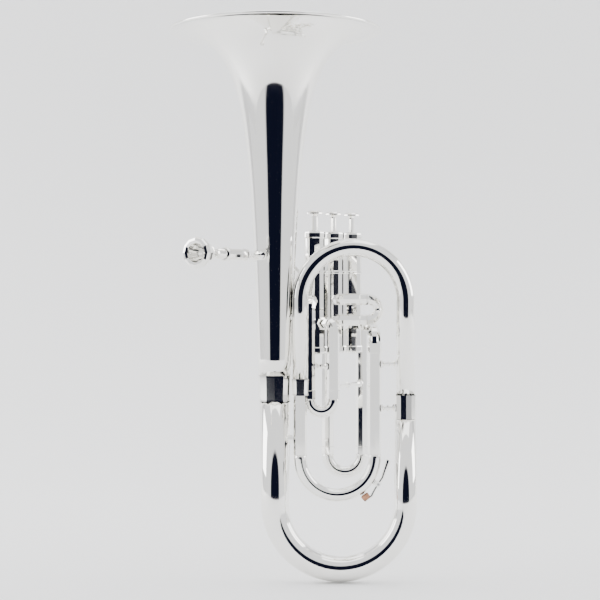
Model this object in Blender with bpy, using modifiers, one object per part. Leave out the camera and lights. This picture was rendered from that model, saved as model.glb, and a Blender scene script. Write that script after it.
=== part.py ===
"""Alto horn in E flat with three piston valves, bell up, as a set of separate pieces.

Frame: X to the right, Y away from the player's side, Z up. The origin is the lowest point of
the bottom bow. The bell and the bottom bow lie in the XZ plane, and the top bow and the tuning
slide lie in an upright plane turned a little about the right leg.
"""
import math

import bmesh
import bpy
from mathutils import Matrix, Vector

MM = 0.001

# Fits
GAP = 0.3 * MM
SLIDE_FIT = 0.15 * MM
PISTON_FIT = 0.2 * MM

# Bell: radius = RIM_RADIUS * (1 + depth / FLARE_DEPTH) ** -FLARE_POWER, depth below the rim
RIM_RADIUS = 102.5 * MM
RIM_TOP = 534.0 * MM
RIM_BEAD = 1.3 * MM
RIM_FACE = 2.2 * MM
FLARE_DEPTH = 11.0 * MM
FLARE_POWER = 0.535
BELL_WALL = 0.7 * MM
BELL_STEPS = 20
BELL_RINGS = 13

# Bottom bow, between the bell and the right leg
BOW_RADIUS = 63.1 * MM
BOW_TUBE_BELL_SIDE = 14.1 * MM
BOW_TUBE_BOTTOM = 12.6 * MM
BOW_TUBE_LEG_SIDE = 10.8 * MM
BOW_TUBE_END = 10.15 * MM
BOW_WALL = 0.7 * MM
BIG_SIDES = 12

# Ferrules: sleeves over the tube joints
BELL_FERRULE = (175.0 * MM, 199.7 * MM)
BOW_FERRULE = (158.0 * MM, 180.8 * MM)
BRANCH_FERRULE = (181.1 * MM, 196.7 * MM)
FERRULE_WALL = 0.6 * MM
FERRULE_BEAD = 0.4 * MM
FERRULE_BEAD_HEIGHT = 1.6 * MM
BELL_NECK_STEP = 1.25 * MM

# Main branch: right leg, top bow and left leg in one conical tube
BRANCH_SPAN = 102.3 * MM
BRANCH_BEND_Z = 272.2 * MM
BRANCH_TUBE_WIDE = 9.35 * MM
BRANCH_TUBE_NARROW = 7.5 * MM
BRANCH_WALL = 0.6 * MM
BELL_TO_LEG = 0.6 * MM

# Main tuning slide and its two fixed tubes
TUNING_FROM_LEG = 30.2 * MM
TUNING_BEND_Z = 120.9 * MM
TUNING_JOINT_RISE = 3.0 * MM
TUNING_TUBE = 6.45 * MM
TUNING_BOW_TUBE = 6.3 * MM
TUNING_INSERT = 46.0 * MM
TUBE_WALL = 0.5 * MM
SMALL_SIDES = 8

# Valve row
VALVE_1 = Vector((-24.64, 27.6, 0.0)) * MM
VALVE_PITCH = 26.9 * MM
ROW_ANGLE = 45.7
VALVE_COUNT = 3
VALVE_SIDES = 12
CASING_RADIUS = 10.15 * MM
CASING_WALL = 1.0 * MM
CASING_NECK = 0.3 * MM
CASING_BOTTOM = 221.8 * MM
CASING_TOP = 338.0 * MM
CASING_RING_Z = 300.3 * MM
CASING_RING = 0.7 * MM
CAP_RADIUS = 11.0 * MM
CAP_HEIGHT = 7.0 * MM
CAP_PLATE = 2.0 * MM
CAP_VENT = 2.0 * MM
TRAVEL = 14.0 * MM

# Piston, its guide, spring, stem and button
PISTON_BOTTOM = 241.5 * MM
PISTON_TOP = 336.0 * MM
BARREL_FLOOR = 293.5 * MM
BARREL_WALL = 1.3 * MM
BARREL_PLATE = 2.0 * MM
GUIDE_Z = 296.0 * MM
GUIDE_THICK = 2.0 * MM
GUIDE_WIDTH = 4.0 * MM
PASSAGE_RADIUS = 4.1 * MM
SPRING_RADIUS = 5.6 * MM
SPRING_WIRE = 0.45 * MM
SPRING_TURNS = 5
STEM_RADIUS = 2.95 * MM
STEM_SPIGOT = 1.9 * MM
BUTTON_RADIUS = 8.4 * MM
BUTTON_HEIGHT = 4.9 * MM
BUTTON_TOP = 360.4 * MM

# Heights of the ports in the casings
MAIN_PORT_Z = 248.0 * MM
FIRST_PORTS_Z = (271.5 * MM, 249.5 * MM)
THIRD_PORTS_Z = (271.5 * MM, 249.5 * MM)

# First slide: legs as offsets from valve 1, in front of it
FIRST_LEGS = (Vector((-5.2, -16.3, 0.0)) * MM, Vector((18.1, -16.3, 0.0)) * MM)
FIRST_TUBE = 6.0 * MM
FIRST_BOW_TUBE = 5.85 * MM
FIRST_JOINT_Z = 176.3 * MM
FIRST_INSERT = 45.0 * MM
BOW_STRAIGHT = 1.2 * MM

# Second slide: lies level to the right, in front of valves 2 and 3
SECOND_LEAVES = 290.0
SECOND_FRONT = 17.4 * MM
SECOND_MID_Z = 263.05 * MM
SECOND_BEND = 10.3 * MM
SECOND_TUBE = 5.5 * MM
SECOND_BOW_TUBE = 5.35 * MM
SECOND_ELBOW = 6.5 * MM
SECOND_JOINT_X = 27.1 * MM
SECOND_BOW_STRAIGHT = 1.6 * MM
SECOND_INSERT = 20.0 * MM

# Third slide: legs as offsets from valve 3, behind it
THIRD_LEGS = (Vector((-23.4, 13.8, 0.0)) * MM, Vector((10.97, 13.8, 0.0)) * MM)
THIRD_TUBE = 6.2 * MM
THIRD_BOW_TUBE = 6.05 * MM
THIRD_JOINT_Z = 115.6 * MM
THIRD_INSERT = 70.0 * MM
ELBOW_RADIUS = 6.9 * MM

# Pipe from valve 3 to the tuning slide
EXIT_ANGLE = 335.0
EXIT_TUBE = 6.1 * MM
EXIT_Z = 241.0 * MM
EXIT_ELBOW = 8.5 * MM
EXIT_SLEEVE = 9.2 * MM
SLEEVE_BELOW_BEND = 1.5 * MM

# Mouthpipe, receiver and mouthpiece
RECEIVER_Z = 315.4 * MM
MOUTH_ANGLE = 60.0
MOUTH_OFFSET = 8.0 * MM
RIM_FROM_BELL = 127.0 * MM
MOUTHPIECE_LENGTH = 69.0 * MM
MOUTHPIECE_SHOWN = 49.0 * MM
MOUTH_RIM_RADIUS = 14.4 * MM
MOUTH_CUP_RADIUS = 9.0 * MM
SHANK_RADIUS = 4.6 * MM
RECEIVER_LENGTH = 36.0 * MM
RECEIVER_COLLAR = 6.7 * MM
RECEIVER_WALL = 0.6 * MM
MOUTHPIPE_TUBE = 5.0 * MM
MOUTHPIPE_CLEAR = 2.6 * MM
INLET_ANGLE = 135.7

# Stays between the tubes
STAY_NECK = 1.9 * MM
STAY_FOOT = 3.8 * MM
STAY_BULGE = 2.8 * MM
STAY_FLARE = 2.4 * MM
BELL_STAY_Z = (256.3 * MM, 138.8 * MM)
TUNING_STAY_Z = (210.8 * MM, 168.3 * MM)
FIRST_STAY_Z = 207.9 * MM
CROSS_STAY_Z = 188.0 * MM
RECEIVER_STAY = 28.0 * MM

# Water key on the tuning slide's bow, placed by angles about the bow's centre
KEY_CORK_ANGLE = -54.2
KEY_PIVOT_ANGLE = -33.4
KEY_TIP_ANGLE = -3.4
KEY_PIVOT_OUT = 4.4 * MM
KEY_TIP_OUT = 7.6 * MM
KEY_BARREL = 2.5 * MM
KEY_PIN = 1.1 * MM
KEY_ARM = 1.5 * MM
KEY_WIDTH = 5.4 * MM
KEY_EAR = 1.4 * MM
NIPPLE_RADIUS = 3.4 * MM
NIPPLE_HEIGHT = 1.6 * MM
NIPPLE_BORE = 1.5 * MM
CORK_RADIUS = 3.9 * MM
CORK_HEIGHT = 3.6 * MM

# Drawing limits
BEND_STEPS = 8
ELBOW_STEPS = 4
MERGE = 0.00002

SILVER = (0.93, 0.92, 0.89)
CORK_COLOUR = (0.55, 0.27, 0.17)
STEEL = (0.62, 0.62, 0.64)


def new_material(name, colour, metallic, roughness):
    """A Principled material with one plain colour."""
    material = bpy.data.materials.new(name)
    material.use_nodes = True
    shader = material.node_tree.nodes["Principled BSDF"]
    shader.inputs["Base Color"].default_value = (*colour, 1.0)
    shader.inputs["Metallic"].default_value = metallic
    shader.inputs["Roughness"].default_value = roughness
    material.diffuse_color = (*colour, 1.0)
    return material


for old in list(bpy.data.objects):
    bpy.data.objects.remove(old, do_unlink=True)
horn = bpy.data.collections.new("alto_horn")
cutters = bpy.data.collections.new("cutters")
bpy.context.scene.collection.children.link(horn)
bpy.context.scene.collection.children.link(cutters)
plate = new_material("silver_plate", SILVER, 1.0, 0.06)
cork_material = new_material("key_cork", CORK_COLOUR, 0.0, 0.8)
steel_material = new_material("spring_steel", STEEL, 1.0, 0.3)


def unit(degrees):
    """Level unit vector at an angle from +X."""
    turn = math.radians(degrees)
    return Vector((math.cos(turn), math.sin(turn), 0.0))


def at_height(point, z):
    """The point's X and Y at another height."""
    return Vector((point.x, point.y, z))


def add_object(name, mesh, material=None, is_cutter=False):
    """Put a mesh in the scene as a part, or as a hidden cutter."""
    obj = bpy.data.objects.new(name, mesh)
    if is_cutter:
        cutters.objects.link(obj)
        obj.hide_render = True
        obj.display_type = "WIRE"
    else:
        horn.objects.link(obj)
        mesh.materials.append(material or plate)
    return obj


def aim(obj, location, direction=(0.0, 0.0, 1.0)):
    """Place an object with its own Z along a direction."""
    obj.location = location
    obj.rotation_euler = Vector(direction).to_track_quat("Z", "Y").to_euler()
    return obj


def boolean(obj, other, operation="DIFFERENCE"):
    """Cut, join or intersect with another object, by the exact solver."""
    modifier = obj.modifiers.new(operation.lower(), "BOOLEAN")
    modifier.operation = operation
    modifier.solver = "EXACT"
    modifier.object = other
    return obj


def turned(name, profile, steps, material=None, is_cutter=False):
    """Turned piece: (radius, height) points run down the outer side, and back up any bore."""
    mesh = bpy.data.meshes.new(name)
    points = [(radius, 0.0, height) for radius, height in profile]
    edges = [(i, i + 1) for i in range(len(points) - 1)]
    if profile[0][0] > 0.0:
        edges.append((len(points) - 1, 0))
    mesh.from_pydata(points, edges, [])
    obj = add_object(name, mesh, material, is_cutter)
    screw = obj.modifiers.new("turn", "SCREW")
    screw.steps = steps
    screw.render_steps = steps
    screw.use_merge_vertices = True
    screw.merge_threshold = MERGE
    screw.use_smooth_shade = True
    return obj


def cylinder(name, start, direction, radius, length, sides):
    """Plain cylinder used as a drill, from a start point along a direction."""
    mesh = bpy.data.meshes.new(name)
    shape = bmesh.new()
    bmesh.ops.create_cone(
        shape, cap_ends=True, segments=sides, radius1=radius, radius2=radius, depth=length)
    shape.to_mesh(mesh)
    shape.free()
    obj = add_object(name, mesh, is_cutter=True)
    middle = Vector(start) + Vector(direction).normalized() * length / 2
    return aim(obj, middle, direction)


def block(name, centre, size, turn=0.0, axes=None, is_cutter=True):
    """Plain box, turned about Z or set on three axes, used as a piece or to cut or join one."""
    mesh = bpy.data.meshes.new(name)
    shape = bmesh.new()
    bmesh.ops.create_cube(shape, size=1.0)
    bmesh.ops.scale(shape, vec=size, verts=shape.verts)
    shape.to_mesh(mesh)
    shape.free()
    obj = add_object(name, mesh, is_cutter=is_cutter)
    obj.location = centre
    obj.rotation_euler = axes.to_euler() if axes else (0.0, 0.0, math.radians(turn))
    return obj


def tube(name, path, radii, sides, wall=None, material=None, is_cutter=False):
    """Round tube along a path, with one radius for each point: hollow if it has a wall."""
    largest = max(radii)
    curve = bpy.data.curves.new(name + "_path", "CURVE")
    curve.dimensions = "3D"
    curve.bevel_depth = largest
    curve.bevel_resolution = (sides - 4) // 2
    curve.use_fill_caps = wall is None
    spline = curve.splines.new("POLY")
    spline.points.add(len(path) - 1)
    for point, place, radius in zip(spline.points, path, radii):
        point.co = (*place, 1.0)
        point.radius = radius / largest
    drawn = bpy.data.objects.new(name + "_path", curve)
    horn.objects.link(drawn)
    bpy.context.view_layer.update()
    seen = drawn.evaluated_get(bpy.context.evaluated_depsgraph_get())
    mesh = bpy.data.meshes.new_from_object(seen)
    bpy.data.objects.remove(drawn, do_unlink=True)
    shape = bmesh.new()
    shape.from_mesh(mesh)
    bmesh.ops.remove_doubles(shape, verts=shape.verts, dist=MERGE / 4)
    shape.to_mesh(mesh)
    shape.free()
    mesh.name = name
    mesh.materials.clear()
    mesh.shade_smooth()
    obj = add_object(name, mesh, material, is_cutter)
    if wall is not None:
        shell = obj.modifiers.new("wall", "SOLIDIFY")
        shell.thickness = wall
        shell.offset = -1.0
    return obj


def arc(centre, start, travel, degrees, steps):
    """Points along an arc: start is the spoke to its first point, travel the way it sets off."""
    radius = start.length
    spoke = start.normalized()
    ahead = travel.normalized()
    points = []
    for i in range(steps + 1):
        turn = math.radians(degrees) * i / steps
        points.append(centre + radius * (spoke * math.cos(turn) + ahead * math.sin(turn)))
    return points


def taper(path, stations):
    """Radius at each path point, from (point index, radius) stations, even along the length."""
    lengths = [0.0]
    for a, b in zip(path, path[1:]):
        lengths.append(lengths[-1] + (b - a).length)
    radii = []
    for i, length in enumerate(lengths):
        pairs = list(zip(stations, stations[1:]))
        (low, first), (high, last) = next(pair for pair in pairs if i <= pair[1][0])
        share = (length - lengths[low]) / (lengths[high] - lengths[low])
        radii.append(first + (last - first) * share)
    return radii


def smooth(points, steps):
    """Catmull-Rom curve through the points, with the given steps in each span."""
    ends = [2 * points[0] - points[1], *points, 2 * points[-1] - points[-2]]
    curve = []
    for a, b, c, d in zip(ends, ends[1:], ends[2:], ends[3:]):
        for i in range(steps):
            t = i / steps
            curve.append(0.5 * (2 * b + (c - a) * t + (2 * a - 5 * b + 4 * c - d) * t ** 2
                                + (3 * b - a - 3 * c + d) * t ** 3))
    curve.append(points[-1])
    return curve


def bore_over(radius, sides):
    """Corner radius of a many-sided bore that clears a tube of this radius all round."""
    return (radius + SLIDE_FIT) / math.cos(math.pi / sides)


def bell_radius(z):
    """Outer radius of the bell at a height."""
    return RIM_RADIUS * (1.0 + (RIM_TOP - z) / FLARE_DEPTH) ** -FLARE_POWER


def sleeve(name, place, span, bores, outers):
    """Ferrule: a sleeve with a bead at each end; bores and outers are (lower, upper) radii."""
    low, high = span
    middle = (low + high) / 2
    bead = FERRULE_BEAD_HEIGHT
    profile = [
        (outers[1] + FERRULE_BEAD, high), (outers[1] + FERRULE_BEAD, high - bead),
        (outers[1], high - bead), (outers[0], low + bead),
        (outers[0] + FERRULE_BEAD, low + bead), (outers[0] + FERRULE_BEAD, low),
        (bores[0], low), (bores[0], middle), (bores[1], middle + GAP), (bores[1], high)]
    obj = turned(name, profile, BIG_SIDES)
    obj.location = at_height(place, 0.0)
    return obj


# Bell: one spun flare and throat, with a wire bead in its rim and a neck for the ferrule
BELL_AXIS = Vector((-BOW_RADIUS, 0.0, 0.0))
NECK_RADIUS = bell_radius(BELL_FERRULE[1]) - BELL_NECK_STEP
BELL_JOINT = (BELL_FERRULE[0] + BELL_FERRULE[1]) / 2


def bell_outline():
    """Outer side from the rim down, then the inner side one wall inside it, back up."""
    bead_r = RIM_RADIUS - RIM_BEAD
    bead_z = RIM_TOP - RIM_BEAD
    outer = [(bead_r - RIM_FACE, RIM_TOP)]
    for degrees in (90, 45, 0, -45, -90, -135):
        turn = math.radians(degrees)
        outer.append((bead_r + RIM_BEAD * math.cos(turn), bead_z + RIM_BEAD * math.sin(turn)))
    length = RIM_TOP - BELL_FERRULE[1] - 2 * GAP
    stretch = math.log(length / FLARE_DEPTH + 1.0)
    flare = []
    for i in range(1, BELL_RINGS + 1):
        depth = FLARE_DEPTH * (math.exp(stretch * i / BELL_RINGS) - 1.0)
        flare.append((bell_radius(RIM_TOP - depth), RIM_TOP - depth))
    inner = []
    for (r0, z0), (r1, z1) in zip(flare, flare[1:]):
        across = Vector((z1 - z0, r0 - r1)).normalized() * BELL_WALL
        inner.append(((r0 + r1) / 2 + across.x, (z0 + z1) / 2 + across.y))
    tail = [(NECK_RADIUS, BELL_FERRULE[1] + GAP), (NECK_RADIUS, BELL_JOINT + GAP)]
    bore = NECK_RADIUS - BELL_WALL
    return outer + flare + tail + [(bore, BELL_JOINT + GAP)] + inner[::-1]


bell = turned("bell", bell_outline(), BELL_STEPS)
bell.location = BELL_AXIS
sleeve("bell_ferrule", BELL_AXIS, BELL_FERRULE,
       (bore_over(NECK_RADIUS, BIG_SIDES),) * 2,
       (NECK_RADIUS + FERRULE_WALL * 1.5, bell_radius(BELL_FERRULE[1]) + GAP))

# Bottom bow: conical tube bent into a half circle, necked at both ends for the ferrules
BOW_CENTRE = Vector((0.0, 0.0, BOW_RADIUS + BOW_TUBE_BOTTOM))
RIGHT_LEG = Vector((BOW_RADIUS, 0.0, 0.0))
BOW_JOINT = (BOW_FERRULE[0] + BOW_FERRULE[1]) / 2
bow_path = [at_height(BELL_AXIS, BELL_JOINT - GAP)]
bow_path += arc(BOW_CENTRE, Vector((-BOW_RADIUS, 0, 0)), Vector((0, 0, -1)), 180, BEND_STEPS)
bow_path += [at_height(RIGHT_LEG, BOW_FERRULE[0] - 2 * GAP),
             at_height(RIGHT_LEG, BOW_FERRULE[0] - GAP),
             at_height(RIGHT_LEG, BOW_JOINT - GAP)]
last = len(bow_path) - 1
bow_radii = taper(bow_path, [
    (0, NECK_RADIUS), (1, BOW_TUBE_BELL_SIDE), (1 + BEND_STEPS // 2, BOW_TUBE_BOTTOM),
    (1 + BEND_STEPS, BOW_TUBE_LEG_SIDE), (last - 2, BOW_TUBE_END),
    (last - 1, BRANCH_TUBE_WIDE), (last, BRANCH_TUBE_WIDE)])
tube("bottom_bow", bow_path, bow_radii, BIG_SIDES, BOW_WALL)
leg_bore = bore_over(BRANCH_TUBE_WIDE, BIG_SIDES)
sleeve("bow_ferrule", RIGHT_LEG, BOW_FERRULE, (leg_bore,) * 2, (leg_bore + FERRULE_WALL,) * 2)

# Main branch: the left leg stands clear of the bell, which turns the plane of the top bow
LEG_REACH = bell_radius(BRANCH_BEND_Z) + BRANCH_TUBE_NARROW + BELL_TO_LEG
SPREAD = 2 * BOW_RADIUS
LEG_ALONG = (SPREAD ** 2 + LEG_REACH ** 2 - BRANCH_SPAN ** 2) / (2 * SPREAD)
LEFT_LEG = BELL_AXIS + Vector((LEG_ALONG, -math.sqrt(LEG_REACH ** 2 - LEG_ALONG ** 2), 0.0))
BRANCH_WAY = (LEFT_LEG - RIGHT_LEG).normalized()
BRANCH_JOINT = (BRANCH_FERRULE[0] + BRANCH_FERRULE[1]) / 2
UP = Vector((0.0, 0.0, 1.0))
branch_bend = at_height(RIGHT_LEG + BRANCH_WAY * BRANCH_SPAN / 2, BRANCH_BEND_Z)
branch_path = [at_height(RIGHT_LEG, BOW_JOINT + GAP)]
branch_path += arc(branch_bend, -BRANCH_WAY * BRANCH_SPAN / 2, UP, 180, BEND_STEPS)
branch_path += [at_height(LEFT_LEG, BRANCH_FERRULE[1] + 2 * GAP),
                at_height(LEFT_LEG, BRANCH_FERRULE[1] + GAP),
                at_height(LEFT_LEG, BRANCH_JOINT + GAP)]
branch_neck = BRANCH_TUBE_NARROW - BRANCH_WALL
last = len(branch_path) - 1
branch_radii = taper(branch_path, [
    (0, BRANCH_TUBE_WIDE), (last - 2, BRANCH_TUBE_NARROW),
    (last - 1, branch_neck), (last, branch_neck)])
tube("main_branch", branch_path, branch_radii, BIG_SIDES, BRANCH_WALL)
sleeve("branch_ferrule", LEFT_LEG, BRANCH_FERRULE,
       (bore_over(TUNING_TUBE, BIG_SIDES), bore_over(branch_neck, BIG_SIDES)),
       (bore_over(TUNING_TUBE, BIG_SIDES) + FERRULE_WALL,
        bore_over(branch_neck, BIG_SIDES) + FERRULE_WALL))

# Tuning slide: two fixed tubes, and a bow with long legs that slides in them
TUNING_RIGHT = RIGHT_LEG + BRANCH_WAY * TUNING_FROM_LEG
TUNING_RADIUS = (BRANCH_SPAN - TUNING_FROM_LEG) / 2
TUNING_CENTRE = at_height(TUNING_RIGHT + BRANCH_WAY * TUNING_RADIUS, TUNING_BEND_Z)
TUNING_JOINT_Z = TUNING_BEND_Z + TUNING_JOINT_RISE


def inner_leg(outer_radius, wall=TUBE_WALL):
    """Radius of a slide leg that runs in a tube of this outer radius."""
    return (outer_radius - wall) * math.cos(math.pi / SMALL_SIDES) - SLIDE_FIT


def slide_loop(name, centre, way, out, reach, joint, insert, bow_tube, leg_tube):
    """Slide bow with its two inner legs: way points from leg to leg, out to the bow's crown."""
    steps = BEND_STEPS - 2
    start = centre - way * reach
    end = centre + way * reach
    path = [start - out * (joint + insert), start - out * (joint + GAP), start - out * joint]
    path += arc(centre, -way * reach, out, 180, steps)
    path += [end - out * joint, end - out * (joint + GAP), end - out * (joint + insert)]
    radii = [leg_tube] * 2 + [bow_tube] * (steps + 3) + [leg_tube] * 2
    return tube(name, path, radii, SMALL_SIDES, TUBE_WALL)


for side, foot, top in (("left", LEFT_LEG, BRANCH_JOINT - GAP),
                        ("right", TUNING_RIGHT, EXIT_Z - EXIT_ELBOW - SLEEVE_BELOW_BEND)):
    ends = [at_height(foot, TUNING_JOINT_Z + GAP), at_height(foot, top)]
    sizes = [TUNING_TUBE, TUNING_TUBE]
    if side == "right":
        sleeve_low = top - EXIT_SLEEVE
        wide = bore_over(EXIT_TUBE, SMALL_SIDES) + TUBE_WALL
        ends[1:1] = [at_height(foot, sleeve_low - GAP), at_height(foot, sleeve_low)]
        sizes = [TUNING_TUBE, TUNING_TUBE, wide, wide]
    tube("tuning_tube_" + side, ends, sizes, SMALL_SIDES, TUBE_WALL)
tuning_slide = slide_loop(
    "tuning_slide", TUNING_CENTRE, -BRANCH_WAY, -UP, TUNING_RADIUS, TUNING_JOINT_RISE,
    TUNING_INSERT, TUNING_BOW_TUBE, inner_leg(TUNING_TUBE))

# Valve row
ROW = unit(ROW_ANGLE)
VALVES = [VALVE_1 + ROW * VALVE_PITCH * i for i in range(VALVE_COUNT)]
CASING_BORE = CASING_RADIUS - CASING_WALL
PISTON_RADIUS = CASING_BORE * math.cos(math.pi / VALVE_SIDES) - PISTON_FIT
NECK = CASING_RADIUS - CASING_NECK
CAP_BORE = bore_over(NECK, VALVE_SIDES)
SECOND_PORTS_Z = (SECOND_MID_Z + SECOND_BEND, SECOND_MID_Z - SECOND_BEND)


def bearing(offset):
    """Angle of a level offset from +X, in degrees."""
    return math.degrees(math.atan2(offset.y, offset.x))


# For each valve: inlet, outlet, then the slide's upper and lower port, as angle and height
PORTS = [
    ((INLET_ANGLE, MAIN_PORT_Z), (ROW_ANGLE, MAIN_PORT_Z),
     (bearing(FIRST_LEGS[0]), FIRST_PORTS_Z[0]), (bearing(FIRST_LEGS[1]), FIRST_PORTS_Z[1])),
    ((ROW_ANGLE + 180, MAIN_PORT_Z), (ROW_ANGLE, MAIN_PORT_Z),
     (SECOND_LEAVES, SECOND_PORTS_Z[0]), (SECOND_LEAVES, SECOND_PORTS_Z[1])),
    ((ROW_ANGLE + 180, MAIN_PORT_Z), (EXIT_ANGLE, MAIN_PORT_Z),
     (bearing(THIRD_LEGS[0]), THIRD_PORTS_Z[0]), (bearing(THIRD_LEGS[1]), THIRD_PORTS_Z[1])),
]


def casing_outline():
    """Straight barrel with a ring half way up and a threaded neck at each end."""
    top_shoulder = CASING_TOP - CAP_HEIGHT + CAP_PLATE
    low_shoulder = CASING_BOTTOM + CAP_HEIGHT - CAP_PLATE
    ring = CASING_RING
    return [
        (NECK, CASING_TOP), (NECK, top_shoulder), (CASING_RADIUS, top_shoulder),
        (CASING_RADIUS, CASING_RING_Z + 2 * ring), (CASING_RADIUS + ring, CASING_RING_Z + ring),
        (CASING_RADIUS + ring, CASING_RING_Z - ring), (CASING_RADIUS, CASING_RING_Z - 2 * ring),
        (CASING_RADIUS, low_shoulder), (NECK, low_shoulder), (NECK, CASING_BOTTOM),
        (CASING_BORE, CASING_BOTTOM), (CASING_BORE, CASING_TOP)]


def cap_outline(hole):
    """Cap seen with its plate at the top: rounded edge, grip band and a hole in its plate."""
    rim = CAP_RADIUS
    return [
        (rim - 2.4 * MM, 0.0), (rim - 0.6 * MM, -0.8 * MM), (rim, -2.0 * MM),
        (rim, -CAP_HEIGHT + 0.9 * MM), (rim - 0.5 * MM, -CAP_HEIGHT),
        (CAP_BORE, -CAP_HEIGHT), (CAP_BORE, -CAP_PLATE), (hole, -CAP_PLATE), (hole, 0.6 * MM),
        (hole + 2.2 * MM, 0.6 * MM), (hole + 2.8 * MM, 0.0)]


def passage(piston, centre, start, end, lift, knee):
    """Windway bored through a piston: a bent drill from port to port by way of its axis."""
    reach = PISTON_RADIUS + 1.5 * MM
    a = at_height(centre + unit(start[0]) * reach, start[1] + lift)
    b = at_height(centre + unit(end[0]) * reach, end[1] + lift)
    middle = at_height(centre, knee)
    path = []
    for i in range(ELBOW_STEPS + 1):
        t = i / ELBOW_STEPS
        path.append(a * (1 - t) ** 2 + middle * 2 * t * (1 - t) + b * t ** 2)
    drill = tube("windway", path, [PASSAGE_RADIUS] * len(path), 8, is_cutter=True)
    boolean(piston, drill)


def piston_outline():
    """Solid lower part, and a barrel above it for the spring, closed by a plate."""
    bore = PISTON_RADIUS - BARREL_WALL
    hole = STEM_SPIGOT + GAP
    top = PISTON_TOP
    return [
        (PISTON_RADIUS - 0.4 * MM, top), (PISTON_RADIUS, top - 0.4 * MM),
        (PISTON_RADIUS, PISTON_BOTTOM + 0.4 * MM), (PISTON_RADIUS - 0.4 * MM, PISTON_BOTTOM),
        (0.0, PISTON_BOTTOM), (0.0, BARREL_FLOOR), (bore, BARREL_FLOOR),
        (bore, top - BARREL_PLATE), (hole, top - BARREL_PLATE), (hole, top)]


for number, (centre, ports) in enumerate(zip(VALVES, PORTS), start=1):
    casing = turned(f"valve_casing_{number}", casing_outline(), VALVE_SIDES)
    casing.location = centre
    for angle, z in ports:
        hole = cylinder("port_drill", at_height(centre, z), unit(angle),
                        PASSAGE_RADIUS + GAP, CASING_RADIUS + 2 * MM, 8)
        boolean(casing, hole)

    cap = turned(f"top_cap_{number}", cap_outline(STEM_RADIUS + GAP), VALVE_SIDES)
    cap.location = at_height(centre, CASING_TOP + GAP + CAP_PLATE)
    base = turned(f"bottom_cap_{number}", cap_outline(CAP_VENT), VALVE_SIDES)
    base.location = at_height(centre, CASING_BOTTOM - GAP - CAP_PLATE)
    base.rotation_euler = (math.pi, 0.0, 0.0)

    piston = turned(f"piston_{number}", piston_outline(), VALVE_SIDES)
    piston.location = centre
    inlet, outlet, upper, lower = ports
    passage(piston, centre, inlet, outlet, 0.0, MAIN_PORT_Z)
    passage(piston, centre, lower, outlet, TRAVEL, (lower[1] + outlet[1]) / 2 + TRAVEL)
    passage(piston, centre, inlet, upper, TRAVEL, upper[1] + TRAVEL - 6 * MM)
    slot_height = GUIDE_THICK + TRAVEL + 2 * GAP
    slot = block("guide_slot", at_height(centre, GUIDE_Z - GAP + slot_height / 2),
                 (2 * CASING_RADIUS, GUIDE_WIDTH + 2 * GAP, slot_height), ROW_ANGLE + 90)
    boolean(piston, slot)

    guide = turned(f"valve_guide_{number}", [
        (PISTON_RADIUS - BARREL_WALL - 2 * GAP, GUIDE_THICK),
        (PISTON_RADIUS - BARREL_WALL - 2 * GAP, 0.0), (2.0 * MM, 0.0),
        (2.0 * MM, GUIDE_THICK)], VALVE_SIDES)
    guide.location = at_height(centre, GUIDE_Z)
    tab_reach = CASING_BORE * math.cos(math.pi / VALVE_SIDES) - SLIDE_FIT
    for way in (1, -1):
        tab_length = tab_reach - 4 * MM
        tab_middle = way * (tab_reach - tab_length / 2)
        tab_centre = centre + unit(ROW_ANGLE + 90) * tab_middle
        tab = block("guide_tab", at_height(tab_centre, GUIDE_Z + GUIDE_THICK / 2),
                    (tab_length, GUIDE_WIDTH, GUIDE_THICK * 0.9), ROW_ANGLE + 90)
        boolean(guide, tab, "UNION")

    low = GUIDE_Z + GUIDE_THICK + GAP + SPRING_WIRE
    high = PISTON_TOP - BARREL_PLATE - GAP - SPRING_WIRE
    turns = []
    for i in range(SPRING_TURNS * 8 + 1):
        coil = unit(360.0 * i / 8) * SPRING_RADIUS
        turns.append(at_height(centre + coil, low + (high - low) * i / (SPRING_TURNS * 8)))
    tube(f"valve_spring_{number}", turns, [SPRING_WIRE] * len(turns), 4,
         material=steel_material)

    button_foot = BUTTON_TOP - BUTTON_HEIGHT
    spigot_top = button_foot + 0.55 * BUTTON_HEIGHT
    spigot_low = PISTON_TOP - BARREL_PLATE
    stem = turned(f"stem_{number}", [
        (0.0, spigot_top), (STEM_SPIGOT, spigot_top), (STEM_SPIGOT, button_foot - GAP),
        (STEM_RADIUS, button_foot - GAP), (STEM_RADIUS, PISTON_TOP + GAP),
        (STEM_SPIGOT, PISTON_TOP + GAP), (STEM_SPIGOT, spigot_low), (0.0, spigot_low)],
        SMALL_SIDES)
    stem.location = centre
    rim = BUTTON_RADIUS
    button = turned(f"button_{number}", [
        (0.0, BUTTON_TOP - 0.5 * MM), (rim * 0.55, BUTTON_TOP - 0.6 * MM),
        (rim * 0.68, BUTTON_TOP), (rim * 0.8, BUTTON_TOP - 0.3 * MM),
        (rim, BUTTON_TOP - 1.9 * MM), (rim, BUTTON_TOP - 3.0 * MM),
        (rim * 0.62, button_foot + 0.8 * MM), (rim * 0.5, button_foot),
        (STEM_SPIGOT + GAP, button_foot), (STEM_SPIGOT + GAP, spigot_top + GAP),
        (0.0, spigot_top + GAP)], BIG_SIDES)
    button.location = centre


def seat_on_casing(obj, number):
    """Saddle the end of a tube over the outside of a casing."""
    cutter = cylinder("casing_seat", at_height(VALVES[number - 1], CASING_BOTTOM), UP,
                      CASING_RADIUS + GAP, CASING_TOP - CASING_BOTTOM, VALVE_SIDES)
    boolean(obj, cutter)


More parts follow.
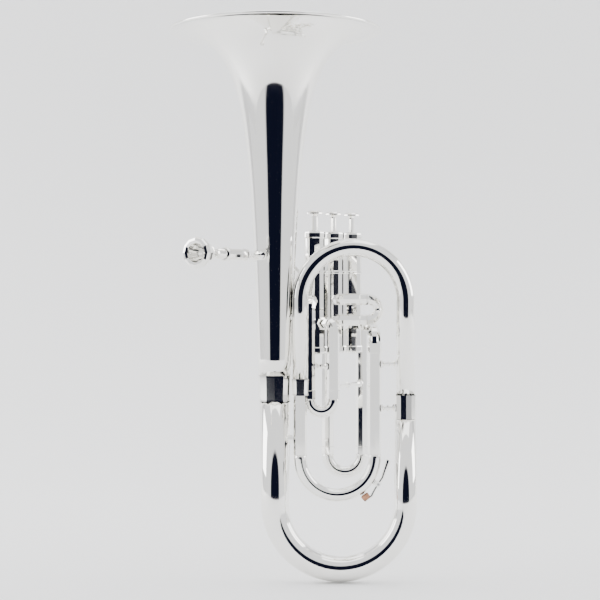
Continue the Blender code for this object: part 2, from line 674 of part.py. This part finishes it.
def drop_tube(name, number, offset, port_z, bottom_z, radius):
    """Fixed slide tube: leaves a casing level, turns down and runs to the slide's joint."""
    way = offset.normalized()
    leg = VALVES[number - 1] + offset
    corner = at_height(leg - way * ELBOW_RADIUS, port_z - ELBOW_RADIUS)
    path = [at_height(VALVES[number - 1] + way * (CASING_RADIUS - CASING_WALL), port_z)]
    path += arc(corner, UP * ELBOW_RADIUS, way, 90, ELBOW_STEPS)
    path += [at_height(leg, bottom_z + 8.3 * MM), at_height(leg, bottom_z + 8.0 * MM),
             at_height(leg, bottom_z + GAP)]
    radii = [radius] * (len(path) - 2) + [radius + FERRULE_BEAD] * 2
    obj = tube(name, path, radii, SMALL_SIDES, TUBE_WALL)
    seat_on_casing(obj, number)
    return obj


# First slide, in front of valve 1, and third slide, behind valve 3
for slide, number, legs, ports_z, joint_z, radius in (
        ("first", 1, FIRST_LEGS, FIRST_PORTS_Z, FIRST_JOINT_Z, FIRST_TUBE),
        ("third", 3, THIRD_LEGS, THIRD_PORTS_Z, THIRD_JOINT_Z, THIRD_TUBE)):
    for side, offset, port_z in zip(("left", "right"), legs, ports_z):
        drop_tube(f"{slide}_tube_{side}", number, offset, port_z, joint_z, radius)


def hanging_slide(name, number, legs, joint_z, insert, bow_tube, outer):
    """Slide that hangs in the two fixed tubes below a valve."""
    middle = VALVES[number - 1] + (legs[0] + legs[1]) / 2
    spread = legs[1] - legs[0]
    return slide_loop(name, at_height(middle, joint_z - BOW_STRAIGHT), spread.normalized(), -UP,
                      spread.length / 2, BOW_STRAIGHT, insert, bow_tube, inner_leg(outer))


hanging_slide("first_slide", 1, FIRST_LEGS, FIRST_JOINT_Z, FIRST_INSERT, FIRST_BOW_TUBE,
              FIRST_TUBE)
hanging_slide("third_slide", 3, THIRD_LEGS, THIRD_JOINT_Z, THIRD_INSERT, THIRD_BOW_TUBE,
              THIRD_TUBE)

# Second slide: two level tubes from valve 2, and a short bow with a pull knob on its front
SECOND_Y = VALVES[1].y - SECOND_FRONT
RIGHT = Vector((1.0, 0.0, 0.0))
FRONT = Vector((0.0, -1.0, 0.0))
leave = unit(SECOND_LEAVES)
stub_x = VALVES[1].x + leave.x * CASING_RADIUS
for level, port_z in zip(("upper", "lower"), SECOND_PORTS_Z):
    corner = Vector((stub_x + SECOND_ELBOW, SECOND_Y + SECOND_ELBOW, port_z))
    path = [at_height(VALVES[1] + leave * (CASING_RADIUS - CASING_WALL), port_z)]
    path += arc(corner, -RIGHT * SECOND_ELBOW, FRONT, 90, ELBOW_STEPS)
    path += [Vector((SECOND_JOINT_X - 7.3 * MM, SECOND_Y, port_z)),
             Vector((SECOND_JOINT_X - 7.0 * MM, SECOND_Y, port_z)),
             Vector((SECOND_JOINT_X - GAP, SECOND_Y, port_z))]
    radii = [SECOND_TUBE] * (len(path) - 2) + [SECOND_TUBE + FERRULE_BEAD / 2] * 2
    obj = tube(f"second_tube_{level}", path, radii, SMALL_SIDES, TUBE_WALL)
    seat_on_casing(obj, 2)
second_centre = Vector((SECOND_JOINT_X + SECOND_BOW_STRAIGHT, SECOND_Y, SECOND_MID_Z))
second_slide = slide_loop("second_slide", second_centre, UP, RIGHT, SECOND_BEND,
                          SECOND_BOW_STRAIGHT, SECOND_INSERT, SECOND_BOW_TUBE,
                          inner_leg(SECOND_TUBE))
knob = turned("pull_knob", [
    (0.0, 13.0 * MM), (1.8 * MM, 12.6 * MM), (2.9 * MM, 11.2 * MM), (2.9 * MM, 10.0 * MM),
    (1.5 * MM, 8.6 * MM), (1.5 * MM, SECOND_BOW_TUBE), (2.6 * MM, SECOND_BOW_TUBE - 1.0 * MM),
    (2.6 * MM, SECOND_BOW_TUBE - 1.4 * MM), (0.0, SECOND_BOW_TUBE - 1.4 * MM)],
    10, is_cutter=True)
aim(knob, second_centre + RIGHT * (SECOND_BEND - 1.5 * MM), FRONT)
boolean(second_slide, knob, "UNION")

# Knuckles that join the casings
for number in (1, 2):
    ends = [at_height(VALVES[number - 1] + ROW * CASING_BORE, MAIN_PORT_Z),
            at_height(VALVES[number] - ROW * CASING_BORE, MAIN_PORT_Z)]
    knuckle = tube(f"knuckle_{number}", ends, [FIRST_TUBE] * 2, SMALL_SIDES, TUBE_WALL)
    seat_on_casing(knuckle, number)
    seat_on_casing(knuckle, number + 1)

# Exit pipe: from valve 3 forwards under the second slide, then down to the tuning slide
exit_way = unit(EXIT_ANGLE)
exit_start = at_height(VALVES[2] + exit_way * (CASING_RADIUS - CASING_WALL), MAIN_PORT_Z)
exit_back = VALVES[2].y - 14.0 * MM
exit_level = SECOND_Y + SECOND_TUBE + EXIT_TUBE
exit_path = smooth([
    exit_start,
    at_height(VALVES[2] + exit_way * (CASING_RADIUS + 5.0 * MM), MAIN_PORT_Z),
    Vector((TUNING_RIGHT.x, exit_back, (MAIN_PORT_Z + EXIT_Z) / 2)),
    Vector((TUNING_RIGHT.x, exit_level, EXIT_Z))], 3)
exit_path += arc(at_height(TUNING_RIGHT - FRONT * EXIT_ELBOW, EXIT_Z - EXIT_ELBOW),
                 UP * EXIT_ELBOW, FRONT, 90, ELBOW_STEPS)
exit_path.append(at_height(TUNING_RIGHT, EXIT_Z - EXIT_ELBOW - EXIT_SLEEVE / 2 + 2 * GAP))
exit_pipe = tube("exit_pipe", exit_path, [EXIT_TUBE] * len(exit_path), SMALL_SIDES, TUBE_WALL)
seat_on_casing(exit_pipe, 3)

# Mouthpiece line: passes the bell's axis at MOUTH_OFFSET on its left
MOUTH_WAY = unit(MOUTH_ANGLE)
MOUTH_NEAR = at_height(BELL_AXIS + unit(MOUTH_ANGLE + 90) * MOUTH_OFFSET, RECEIVER_Z)
RIM_PLACE = MOUTH_NEAR - MOUTH_WAY * RIM_FROM_BELL
RECEIVER_PLACE = RIM_PLACE + MOUTH_WAY * MOUTHPIECE_SHOWN
RECEIVER_BORE = bore_over(SHANK_RADIUS, BIG_SIDES)
RECEIVER_OUTER = RECEIVER_BORE + RECEIVER_WALL
SHANK_IN = MOUTHPIECE_LENGTH - MOUTHPIECE_SHOWN


def mouthpiece_outline():
    """Heights run back from the rim: rounded rim, bowl, throat and a tapered shank."""
    rim = MOUTH_RIM_RADIUS
    cup = MOUTH_CUP_RADIUS
    end = MOUTHPIECE_LENGTH
    outer = [(rim - 3.2 * MM, 0.0), (rim - 1.0 * MM, 0.7 * MM), (rim, 2.4 * MM),
             (rim, 4.6 * MM), (rim - 1.3 * MM, 6.4 * MM), (rim * 0.86, 11.0 * MM),
             (rim * 0.7, 18.0 * MM), (rim * 0.46, 25.0 * MM), (rim * 0.34, 29.5 * MM),
             (SHANK_RADIUS - 0.1 * MM, 32.0 * MM), (SHANK_RADIUS + 0.1 * MM, 35.0 * MM),
             (SHANK_RADIUS, MOUTHPIECE_SHOWN - 1.0 * MM), (SHANK_RADIUS * 0.9, end)]
    inner = [(3.2 * MM, end), (2.1 * MM, 24.0 * MM), (2.1 * MM, 20.0 * MM),
             (cup * 0.62, 14.0 * MM), (cup * 0.9, 7.0 * MM), (cup, 1.4 * MM)]
    return outer + inner


mouthpiece = turned("mouthpiece", [(r, -z) for r, z in mouthpiece_outline()], BIG_SIDES)
aim(mouthpiece, RIM_PLACE, -MOUTH_WAY)

collar = 5.0 * MM
receiver = turned("receiver", [
    (RECEIVER_COLLAR - 0.8 * MM, 0.0), (RECEIVER_COLLAR, -1.0 * MM),
    (RECEIVER_COLLAR, -collar + 1.4 * MM), (RECEIVER_OUTER, -collar),
    (RECEIVER_OUTER, -RECEIVER_LENGTH + 2 * MM), (RECEIVER_OUTER + 0.4 * MM, -RECEIVER_LENGTH + 2 * MM),
    (RECEIVER_OUTER + 0.4 * MM, -RECEIVER_LENGTH), (RECEIVER_BORE, -RECEIVER_LENGTH),
    (RECEIVER_BORE, 0.0)], BIG_SIDES)
aim(receiver, RECEIVER_PLACE, -MOUTH_WAY)

# Mouthpipe: out of the receiver, round the far side of the bell and down into valve 1
PIPE_INNER = RECEIVER_BORE * math.cos(math.pi / BIG_SIDES) - SLIDE_FIT
wrap = bell_radius(RECEIVER_Z) + MOUTHPIPE_TUBE + MOUTHPIPE_CLEAR
receiver_end = RECEIVER_PLACE + MOUTH_WAY * RECEIVER_LENGTH
pipe_start = RECEIVER_PLACE + MOUTH_WAY * (SHANK_IN + 2.0 * MM)
inlet_way = unit(INLET_ANGLE)
inlet_end = at_height(VALVES[0] + inlet_way * (CASING_RADIUS - CASING_WALL), MAIN_PORT_Z)
inlet_leg = VALVES[0] + inlet_way * (CASING_RADIUS + ELBOW_RADIUS)
pipe_knots = [
    receiver_end + MOUTH_WAY * 1.0 * MM,
    at_height(BELL_AXIS + unit(212) * (wrap + 4.5 * MM), RECEIVER_Z),
    at_height(BELL_AXIS + unit(182) * (wrap + 0.6 * MM), RECEIVER_Z),
    at_height(BELL_AXIS + unit(150) * wrap, RECEIVER_Z - 0.4 * MM),
    at_height(BELL_AXIS + unit(118) * wrap, RECEIVER_Z - 1.6 * MM),
    at_height(BELL_AXIS + unit(88) * wrap, RECEIVER_Z - 4.5 * MM),
    at_height(inlet_leg + Vector((-11.0, -6.5, 0.0)) * MM, RECEIVER_Z - 11.0 * MM),
    at_height(inlet_leg + Vector((-2.5, -1.5, 0.0)) * MM, RECEIVER_Z - 22.0 * MM),
    at_height(inlet_leg, RECEIVER_Z - 36.0 * MM)]
inlet_bend = arc(at_height(inlet_leg - inlet_way * ELBOW_RADIUS, MAIN_PORT_Z + ELBOW_RADIUS),
                 inlet_way * ELBOW_RADIUS, -UP, 90, ELBOW_STEPS)
pipe_path = [pipe_start, receiver_end + MOUTH_WAY * GAP] + smooth(pipe_knots, 2)
pipe_path += inlet_bend + [inlet_end]
pipe_radii = [PIPE_INNER] * 2 + [MOUTHPIPE_TUBE] * (len(pipe_path) - 2)
mouthpipe = tube("mouthpipe", pipe_path, pipe_radii, SMALL_SIDES, TUBE_WALL)
seat_on_casing(mouthpipe, 1)


def stay(name, a, a_radius, b, b_radius, plain=False, b_way=UP):
    """Turned post from tube to tube, its flared feet cut to the tubes that they stand on."""
    out = (b - a).normalized()
    length = (b - a).length
    feet = (a_radius + GAP, length - b_radius - GAP)
    middle = (feet[0] + feet[1]) / 2
    if plain:
        profile = [(0.0, length), (STAY_FOOT, length), (STAY_FOOT, 0.0), (0.0, 0.0)]
    else:
        profile = [
            (0.0, length), (STAY_FOOT, length), (STAY_FOOT, feet[1] - 0.8 * MM),
            (STAY_NECK, feet[1] - STAY_FLARE), (STAY_NECK, middle + STAY_BULGE / 2),
            (STAY_BULGE, middle), (STAY_NECK, middle - STAY_BULGE / 2),
            (STAY_NECK, feet[0] + STAY_FLARE), (STAY_FOOT, feet[0] + 0.8 * MM),
            (STAY_FOOT, 0.0), (0.0, 0.0)]
    obj = aim(turned(name, profile, SMALL_SIDES), a, out)
    for point, radius, way in ((a, a_radius, UP), (b, b_radius, b_way)):
        reach = radius + 4 * STAY_FOOT
        cutter = cylinder("stay_seat", point - way * reach, way, radius + GAP, 2 * reach, 24)
        boolean(obj, cutter)
    return obj


leg_share = (BRANCH_TUBE_WIDE - BRANCH_TUBE_NARROW) / 5
stay("bell_stay_upper", at_height(BELL_AXIS, BELL_STAY_Z[0]),
     bell_radius(BELL_STAY_Z[0] + STAY_FOOT), at_height(LEFT_LEG, BELL_STAY_Z[0]),
     BRANCH_TUBE_NARROW + leg_share, plain=True)
stay("bell_stay_lower", at_height(BELL_AXIS, BELL_STAY_Z[1]), NECK_RADIUS,
     at_height(LEFT_LEG, BELL_STAY_Z[1]), TUNING_TUBE, plain=True)
stay("tuning_stay_upper", at_height(TUNING_RIGHT, TUNING_STAY_Z[0]), TUNING_TUBE,
     at_height(RIGHT_LEG, TUNING_STAY_Z[0]), BRANCH_TUBE_WIDE)
stay("tuning_stay_lower", at_height(TUNING_RIGHT, TUNING_STAY_Z[1]), TUNING_TUBE,
     at_height(RIGHT_LEG, TUNING_STAY_Z[1]), leg_bore + FERRULE_WALL)
first_feet = [VALVES[0] + leg for leg in FIRST_LEGS]
stay("first_stay", at_height(first_feet[0], FIRST_STAY_Z), FIRST_TUBE,
     at_height(first_feet[1], FIRST_STAY_Z), FIRST_TUBE)
stay("cross_stay", at_height(first_feet[1], CROSS_STAY_Z), FIRST_TUBE,
     at_height(VALVES[2] + THIRD_LEGS[1], CROSS_STAY_Z), THIRD_TUBE)
stay("receiver_stay", at_height(BELL_AXIS, RECEIVER_Z), bell_radius(RECEIVER_Z + STAY_FOOT),
     RECEIVER_PLACE + MOUTH_WAY * RECEIVER_STAY, RECEIVER_OUTER, b_way=MOUTH_WAY)

# Water key on the tuning slide's bow
KEY_RIGHT = -BRANCH_WAY
KEY_NORMAL = KEY_RIGHT.cross(UP)
BOW_SKIN = TUNING_RADIUS + TUNING_BOW_TUBE
PIVOT_OUT = BOW_SKIN + KEY_PIVOT_OUT


def key_way(degrees):
    """Direction out from the bow's centre at an angle below the level."""
    turn = math.radians(degrees)
    return KEY_RIGHT * math.cos(turn) + UP * math.sin(turn)


def key_point(radius, degrees):
    """Point at a distance from the bow's centre, in the bow's plane."""
    return TUNING_CENTRE + key_way(degrees) * radius


def key_axes(degrees):
    """Axes of a piece on the bow: across its plane, along the tube and outwards."""
    out = key_way(degrees)
    return Matrix((KEY_NORMAL, out.cross(KEY_NORMAL), out)).transposed()


nipple_foot = BOW_SKIN + GAP
cork_foot = nipple_foot + NIPPLE_HEIGHT + GAP
cork_back = cork_foot + CORK_HEIGHT
nipple = turned("water_key_nipple", [
    (NIPPLE_RADIUS * 0.8, NIPPLE_HEIGHT), (NIPPLE_RADIUS, 0.0), (NIPPLE_BORE, 0.0),
    (NIPPLE_BORE, NIPPLE_HEIGHT)], SMALL_SIDES)
aim(nipple, key_point(nipple_foot, KEY_CORK_ANGLE), key_way(KEY_CORK_ANGLE))
cork = turned("water_key_cork", [
    (0.0, CORK_HEIGHT), (CORK_RADIUS, CORK_HEIGHT), (CORK_RADIUS, 0.0), (0.0, 0.0)],
    BIG_SIDES, cork_material)
aim(cork, key_point(cork_foot, KEY_CORK_ANGLE), key_way(KEY_CORK_ANGLE))
arm_back = cork_back + GAP + KEY_ARM
arm = [key_point(arm_back, KEY_CORK_ANGLE - 4), key_point(arm_back, KEY_CORK_ANGLE + 6),
       key_point(PIVOT_OUT + 1.4 * MM, KEY_PIVOT_ANGLE - 8),
       key_point(PIVOT_OUT + 0.6 * MM, KEY_PIVOT_ANGLE),
       key_point(PIVOT_OUT + 1.4 * MM, KEY_PIVOT_ANGLE + 9),
       key_point(BOW_SKIN + KEY_TIP_OUT, KEY_TIP_ANGLE)]
lever = tube("water_key_lever", arm, [KEY_ARM] * 5 + [KEY_ARM * 1.8], SMALL_SIDES)
pivot = key_point(PIVOT_OUT, KEY_PIVOT_ANGLE)
barrel = cylinder("key_barrel", pivot - KEY_NORMAL * KEY_WIDTH / 2, KEY_NORMAL, KEY_BARREL,
                  KEY_WIDTH, BIG_SIDES)
boolean(lever, barrel, "UNION")
bore = cylinder("key_bore", pivot - KEY_NORMAL * KEY_WIDTH, KEY_NORMAL,
                bore_over(KEY_PIN, BIG_SIDES), 2 * KEY_WIDTH, BIG_SIDES)
boolean(lever, bore)
half = KEY_WIDTH / 2 + GAP
base_high = PIVOT_OUT - KEY_BARREL - GAP
saddle = block("water_key_saddle",
               key_point((nipple_foot + base_high) / 2, KEY_PIVOT_ANGLE),
               (2 * (half + KEY_EAR), 2 * KEY_BARREL, base_high - nipple_foot),
               axes=key_axes(KEY_PIVOT_ANGLE), is_cutter=False)
ear_top = PIVOT_OUT + KEY_BARREL * 0.8
for way in (1, -1):
    ear_middle = (nipple_foot + ear_top) / 2
    ear = block("key_ear", key_point(ear_middle, KEY_PIVOT_ANGLE)
                + KEY_NORMAL * way * (half + KEY_EAR / 2),
                (KEY_EAR, 2 * KEY_BARREL * 0.96, ear_top - nipple_foot - 0.1 * MM),
                axes=key_axes(KEY_PIVOT_ANGLE))
    boolean(saddle, ear, "UNION")
boolean(saddle, bore)
pin_length = 2 * (half + KEY_EAR)
pin = turned("water_key_pin", [
    (0.0, pin_length), (KEY_PIN, pin_length), (KEY_PIN, 0.0), (0.0, 0.0)], SMALL_SIDES,
    steel_material)
aim(pin, pivot - KEY_NORMAL * pin_length / 2, KEY_NORMAL)
print("key pivot", [round(v, 5) for v in pivot], "axis", [round(v, 5) for v in KEY_NORMAL])
print("mouthpiece way", [round(v, 5) for v in MOUTH_WAY])
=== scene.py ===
import math

import bpy
import numpy as np
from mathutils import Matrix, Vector


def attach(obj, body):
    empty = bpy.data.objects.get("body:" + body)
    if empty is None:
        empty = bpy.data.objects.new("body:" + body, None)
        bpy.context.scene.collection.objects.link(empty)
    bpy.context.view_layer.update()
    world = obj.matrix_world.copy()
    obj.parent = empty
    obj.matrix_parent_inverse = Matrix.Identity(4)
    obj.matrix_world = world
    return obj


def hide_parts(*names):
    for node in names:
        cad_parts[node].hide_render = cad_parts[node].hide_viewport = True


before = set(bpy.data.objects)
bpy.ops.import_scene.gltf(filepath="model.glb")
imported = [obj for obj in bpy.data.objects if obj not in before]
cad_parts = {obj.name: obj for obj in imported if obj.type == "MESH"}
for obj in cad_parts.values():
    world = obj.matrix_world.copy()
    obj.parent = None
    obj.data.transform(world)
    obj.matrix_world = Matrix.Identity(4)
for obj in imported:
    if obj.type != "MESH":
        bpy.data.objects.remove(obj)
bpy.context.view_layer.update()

MM = 0.001


# Silver plate: bright, a little warm, with faint uneven polish and a trace of tarnish
silver = bpy.data.materials.new("silver_plate")
silver.use_nodes = True
nodes, links = silver.node_tree.nodes, silver.node_tree.links
shader = nodes["Principled BSDF"]
shader.inputs["Metallic"].default_value = 1.0
place = nodes.new("ShaderNodeTexCoord")
cloud = nodes.new("ShaderNodeTexNoise")
cloud.inputs["Scale"].default_value = 38.0
cloud.inputs["Detail"].default_value = 3.0
tone = nodes.new("ShaderNodeValToRGB")
tone.color_ramp.elements[0].color = (0.90, 0.885, 0.84, 1.0)
tone.color_ramp.elements[1].color = (0.95, 0.945, 0.925, 1.0)
polish = nodes.new("ShaderNodeMapRange")
polish.inputs["To Min"].default_value = 0.035
polish.inputs["To Max"].default_value = 0.085
links.new(place.outputs["Object"], cloud.inputs["Vector"])
links.new(cloud.outputs["Fac"], tone.inputs["Fac"])
links.new(cloud.outputs["Fac"], polish.inputs["Value"])
links.new(tone.outputs["Color"], shader.inputs["Base Color"])
links.new(polish.outputs["Result"], shader.inputs["Roughness"])

# Cork of the water key and steel of the springs
grained = {}
for name, dark, light, metallic, rough in (
        ("cork", (0.36, 0.15, 0.08, 1.0), (0.62, 0.33, 0.2, 1.0), 0.0, 0.8),
        ("steel", (0.5, 0.5, 0.52, 1.0), (0.66, 0.66, 0.68, 1.0), 1.0, 0.3)):
    material = bpy.data.materials.new(name)
    material.use_nodes = True
    tree = material.node_tree
    grain = tree.nodes.new("ShaderNodeTexNoise")
    grain.inputs["Scale"].default_value = 900.0
    shade = tree.nodes.new("ShaderNodeValToRGB")
    shade.color_ramp.elements[0].color = dark
    shade.color_ramp.elements[1].color = light
    spot = tree.nodes.new("ShaderNodeTexCoord")
    principled = tree.nodes["Principled BSDF"]
    principled.inputs["Metallic"].default_value = metallic
    principled.inputs["Roughness"].default_value = rough
    tree.links.new(spot.outputs["Object"], grain.inputs["Vector"])
    tree.links.new(grain.outputs["Fac"], shade.inputs["Fac"])
    tree.links.new(shade.outputs["Color"], principled.inputs["Base Color"])
    grained[name] = material

# CAD pieces that are shown as they are take the same metals
for name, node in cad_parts.items():
    node.data.materials.clear()
    if name == "water_key_cork":
        node.data.materials.append(grained["cork"])
    elif name.startswith("valve_spring") or name == "water_key_pin":
        node.data.materials.append(grained["steel"])
    else:
        node.data.materials.append(silver)


def show(name, points, faces, body, node):
    """Smooth silver piece that stands for one CAD node."""
    mesh = bpy.data.meshes.new(name)
    mesh.from_pydata([tuple(p) for p in points], [], faces)
    mesh.shade_smooth()
    mesh.materials.append(silver)
    obj = bpy.data.objects.new(name, mesh)
    bpy.context.scene.collection.objects.link(obj)
    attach(obj, body)
    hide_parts(node)
    return obj


def grid_faces(rows, columns, closed):
    """Quads of a grid whose columns go round, and whose rows also do if it is closed."""
    faces = []
    for i in range(rows if closed else rows - 1):
        for j in range(columns):
            k = (j + 1) % columns
            n = (i + 1) % rows
            faces.append((i * columns + j, i * columns + k, n * columns + k, n * columns + j))
    return faces


def spun(profile, x, y, steps):
    """Closed profile of (radius, height) spun about an upright axis:
    each point is (x + r cos a, y + r sin a, z)."""
    turn = np.arange(steps) * 2 * math.pi / steps
    points = []
    for r, z in profile:
        points.extend(np.stack([x + r * np.cos(turn), y + r * np.sin(turn),
                                np.full(steps, z)], axis=1))
    return points, grid_faces(len(profile), steps, True)


def swept(path, radii, steps):
    """Tube with closed ends: each ring is the path point plus r (u cos a + v sin a), where u and v
    are carried along the path without twist."""
    path = np.asarray(path, dtype=float)
    ways = np.gradient(path, axis=0)
    ways /= np.linalg.norm(ways, axis=1)[:, None]
    side = np.cross(ways[0], (0.31, 0.87, 0.38))
    turn = np.arange(steps) * 2 * math.pi / steps
    points = []
    for centre, way, r in zip(path, ways, radii):
        side = side - way * side.dot(way)
        side /= np.linalg.norm(side)
        other = np.cross(way, side)
        points.extend(centre + r * (np.outer(np.cos(turn), side) + np.outer(np.sin(turn), other)))
    faces = grid_faces(len(path), steps, False)
    faces.append(tuple(reversed(range(steps))))
    faces.append(tuple(range((len(path) - 1) * steps, len(path) * steps)))
    return points, faces


def bend(centre, spoke, ahead, steps=24):
    """Half circle: centre + spoke cos a + ahead sin a, for a from 0 to pi."""
    turn = np.linspace(0.0, math.pi, steps + 1)[:, None]
    return centre + spoke * np.cos(turn) + ahead * np.sin(turn)


def along(path, first, last):
    """Radii that change evenly with the length of the path."""
    path = np.asarray(path)
    length = np.concatenate([[0], np.cumsum(np.linalg.norm(np.diff(path, axis=0), axis=1))])
    return first + (last - first) * length / length[-1]


# Bell: a spun flare with a wire in its rim, hollow down to the ferrule
BELL_X = -63.1 * MM
RIM_TOP = 534.0 * MM
RIM_RADIUS = 102.5 * MM
BEAD = 1.3 * MM
WALL = 0.7 * MM


def bell_radius(z):
    """Outer radius: rim radius times (1 + depth / 11 mm) to the power -0.535."""
    return RIM_RADIUS * (1.0 + (RIM_TOP - z) / (11.0 * MM)) ** -0.535


depths = 11.0 * MM * (np.exp(np.linspace(0.22, math.log(334.0 / 11.0 + 1.0), 70)) - 1.0)
flare = [(bell_radius(RIM_TOP - d), RIM_TOP - d) for d in depths]
bead = [(RIM_RADIUS - BEAD + BEAD * math.cos(a), RIM_TOP - BEAD + BEAD * math.sin(a))
        for a in np.linspace(math.pi / 2, -math.pi * 0.75, 12)]
lining = [(r - WALL, z + WALL * 0.4) for r, z in reversed(flare)]
points, faces = spun([(99.0 * MM, RIM_TOP)] + bead + flare + lining, BELL_X, 0.0, 128)
show("bell_smooth", points, [f[::-1] for f in faces], "horn", "bell")

# Bottom bow: conical, from the bell's ferrule round to the right leg
LOW_CENTRE = np.array((0.0, 0.0, 75.7)) * MM
RIGHT = np.array((63.1, 0.0, 0.0)) * MM
UP = np.array((0.0, 0.0, 1.0))
path = np.vstack([[-RIGHT + UP * 187.0 * MM], bend(LOW_CENTRE, -RIGHT, -UP * 63.1 * MM, 36),
                  [RIGHT + UP * 157.5 * MM]])
points, faces = swept(path, along(path, 15.0 * MM, 10.15 * MM), 64)
show("bottom_bow_smooth", points, faces, "horn", "bottom_bow")

# Main branch: right leg, top bow and left leg, in a plane turned clear of the bell
SPAN = 102.3 * MM
reach = bell_radius(272.2 * MM) + 7.5 * MM + 0.6 * MM
shift = ((126.2 * MM) ** 2 + reach ** 2 - SPAN ** 2) / (2 * 126.2 * MM)
LEFT = np.array((BELL_X + shift, -math.sqrt(reach ** 2 - shift ** 2), 0.0))
WAY = (LEFT - RIGHT) / np.linalg.norm(LEFT - RIGHT)
path = np.vstack([
    [RIGHT + UP * 170.0 * MM],
    bend(RIGHT + WAY * SPAN / 2 + UP * 272.2 * MM, -WAY * SPAN / 2, UP * SPAN / 2, 36),
    [LEFT + UP * 197.2 * MM]])
points, faces = swept(path, along(path, 9.35 * MM, 7.5 * MM), 56)
show("main_branch_smooth", points, faces, "horn", "main_branch")

# Slides that hang: bow and the two legs that run up inside the fixed tubes
TUNING = RIGHT + WAY * 30.2 * MM
FIRST = np.array(((-29.84, 11.3, 0.0), (-6.54, 11.3, 0.0))) * MM
VALVES = [(-24.64 * MM + 26.9 * MM * math.cos(math.radians(45.7)) * i,
           27.6 * MM + 26.9 * MM * math.sin(math.radians(45.7)) * i) for i in range(3)]
THIRD = np.array(((VALVES[2][0] - 23.4 * MM, VALVES[2][1] + 13.8 * MM, 0.0),
                  (VALVES[2][0] + 10.97 * MM, VALVES[2][1] + 13.8 * MM, 0.0)))
for name, body, left, right, centre_z, joint_z, top_z, bow, leg in (
        ("tuning_slide", "tuning", LEFT, TUNING, 120.9, 123.9, 165.0, 6.3, 5.3),
        ("first_slide", "first", FIRST[0], FIRST[1], 175.1, 176.3, 218.0, 5.85, 4.9),
        ("third_slide", "third", THIRD[0], THIRD[1], 114.4, 115.6, 183.0, 6.05, 5.1)):
    middle = (left + right) / 2 + UP * centre_z * MM
    half = (left - right) / 2
    path = np.vstack([
        [left + UP * top_z * MM], [left + UP * (joint_z + 0.3) * MM],
        [left + UP * joint_z * MM], bend(middle, half, -UP * np.linalg.norm(half), 28),
        [right + UP * joint_z * MM], [right + UP * (joint_z + 0.3) * MM],
        [right + UP * top_z * MM]])
    radii = [leg * MM] * 2 + [bow * MM] * (len(path) - 4) + [leg * MM] * 2
    points, faces = swept(path, radii, 40)
    show(name + "_smooth", points, faces, body, name)

# Floor that curves up into a backdrop, studio light and the photograph's camera
floor_mesh = bpy.data.meshes.new("floor")
side_line = [(-1.0, 0.0), (0.6, 0.0)]
side_line += [(0.6 + 0.6 * math.sin(a), 0.6 - 0.6 * math.cos(a))
              for a in np.linspace(0.1, math.pi / 2, 16)]
side_line.append((1.2, 4.0))
floor_points = [(x, y, z) for y, z in side_line for x in (-4.0, 4.0)]
floor_mesh.from_pydata(floor_points, [], [(2 * i, 2 * i + 1, 2 * i + 3, 2 * i + 2)
                                          for i in range(len(side_line) - 1)])
floor_mesh.shade_smooth()
floor = bpy.data.objects.new("floor", floor_mesh)
floor.location.z = -0.0005
paper = bpy.data.materials.new("pale_paper")
paper.use_nodes = True
paper.node_tree.nodes["Principled BSDF"].inputs["Base Color"].default_value = (0.97, 0.97, 0.97, 1)
paper.node_tree.nodes["Principled BSDF"].inputs["Roughness"].default_value = 0.9
floor_mesh.materials.append(paper)
bpy.context.scene.collection.objects.link(floor)
for name, place, power, extent in (
        ("left_light", (-1.9, 0.1, 1.0), 34.0, 1.3), ("right_light", (1.9, 0.2, 1.0), 26.0, 1.2),
        ("top_light", (0.0, 0.2, 2.2), 24.0, 2.0)):
    lamp = bpy.data.lights.new(name, "AREA")
    lamp.energy = power
    lamp.size = extent
    light = bpy.data.objects.new(name, lamp)
    light.location = place
    light.rotation_euler = (Vector((0, 0, 0.28)) - Vector(place)).to_track_quat("-Z", "Y").to_euler()
    bpy.context.scene.collection.objects.link(light)
world = bpy.data.worlds.new("studio")
world.use_nodes = True
bpy.context.scene.world = world
sky, wires = world.node_tree.nodes, world.node_tree.links
way = sky.new("ShaderNodeTexCoord")
split = sky.new("ShaderNodeSeparateXYZ")
ramp = sky.new("ShaderNodeValToRGB")
ramp.color_ramp.elements[0].position = 0.075
ramp.color_ramp.elements[0].color = (0.004, 0.005, 0.014, 1)
ramp.color_ramp.elements[1].position = 0.1
ramp.color_ramp.elements[1].color = (0.95, 0.96, 0.98, 1)
half_range = sky.new("ShaderNodeMapRange")
half_range.inputs["From Min"].default_value = -1.0
wires.new(way.outputs["Generated"], split.inputs["Vector"])
wires.new(split.outputs["Y"], half_range.inputs["Value"])
wires.new(half_range.outputs["Result"], ramp.inputs["Fac"])
wires.new(ramp.outputs["Color"], sky["Background"].inputs["Color"])
sky["Background"].inputs["Strength"].default_value = 1.5
lens = bpy.data.cameras.new("photo_camera")
lens.lens = 92.4
lens.sensor_width = 36.0
lens.shift_y = -0.005
camera = bpy.data.objects.new("photo_camera", lens)
camera.location = (-38.92 * MM, -1489.0 * MM, 275.6 * MM)
camera.rotation_euler = (math.pi / 2, 0.0, 0.0)
bpy.context.scene.collection.objects.link(camera)
bpy.context.scene.camera = camera
